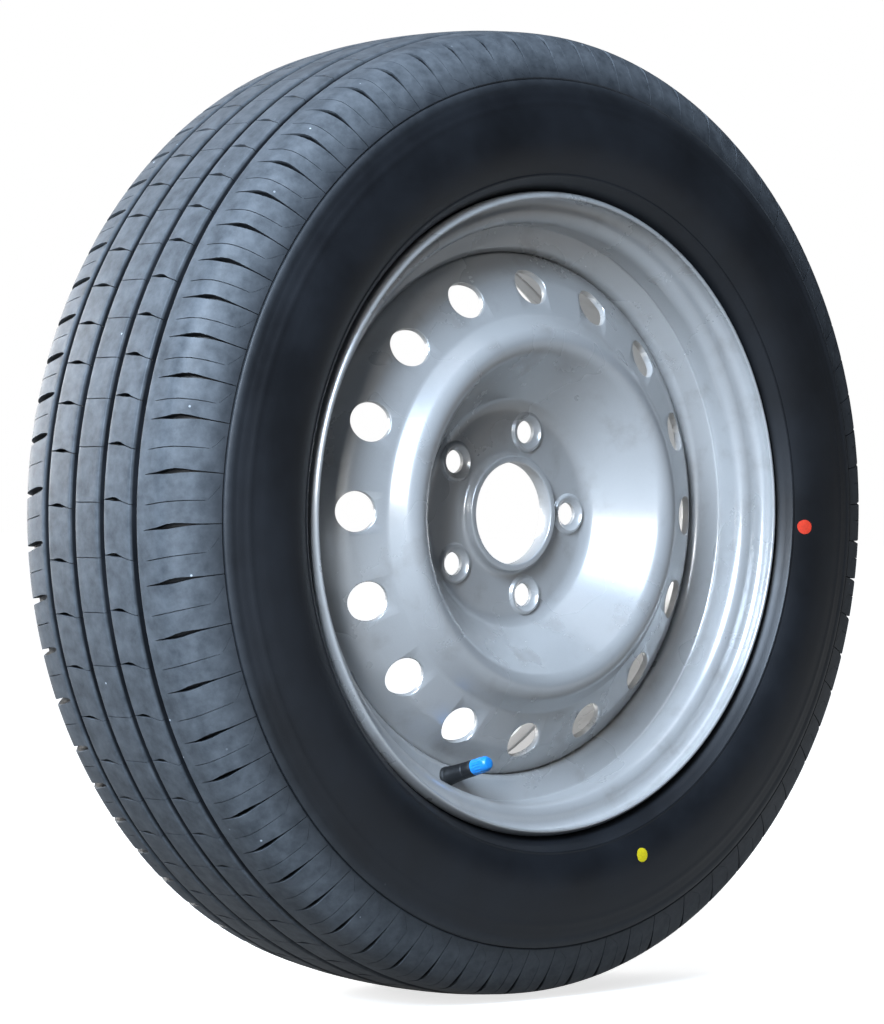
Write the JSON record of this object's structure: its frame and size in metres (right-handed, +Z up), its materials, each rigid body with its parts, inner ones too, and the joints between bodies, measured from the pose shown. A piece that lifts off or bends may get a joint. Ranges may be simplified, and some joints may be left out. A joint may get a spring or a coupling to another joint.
{
  "type": "steel wheel with tyre",
  "caption": "Pressed steel car wheel with round vent holes, a tubeless radial tyre and a snap-in rubber valve with a plastic cap.",
  "frame": {"origin": "centre of the tyre: on the axle line, midway between the two sidewalls", "axes": "+Y along the axle line towards the vehicle, so the outboard face of the wheel looks towards -Y; +Z up; +X to the right when the outboard face is looked at, through the middle of one wheel bolt hole"},
  "size_m": [0.6289, 0.195, 0.629],
  "materials": {
    "tyre_rubber": "satin",
    "painted_steel": "satin",
    "weld_steel": "rough",
    "valve_rubber": "matte",
    "brass": "satin",
    "gasket_rubber": "matte",
    "spring_steel": "satin",
    "blue_plastic": "gloss"
  },
  "bodies": {
    "wheel": {"tyre": "tyre_rubber", "rim": "painted_steel", "disc": "painted_steel", "weld_beads": "weld_steel", "valve_body": "valve_rubber", "valve_stem": "brass", "core_barrel": "brass", "core_gasket": "gasket_rubber", "core_spring": "spring_steel"},
    "pin": {"core_pin": "brass", "core_cup": "valve_rubber"},
    "cap": {"valve_cap": "blue_plastic", "cap_seal": "valve_rubber"}
  },
  "joints": [
    {"name": "cap_lift", "type": "slide", "parent": "wheel", "child": "cap", "axis": [0.1021, -0.9511, 0.2916], "range_m": [0, 0.02]},
    {"name": "pin_press", "type": "slide", "parent": "wheel", "child": "pin", "axis": [-0.1021, 0.9511, -0.2916], "range_m": [0, 0.0012], "stiffness_N_per_m": 900, "deforming": ["core_spring"]}
  ]
}
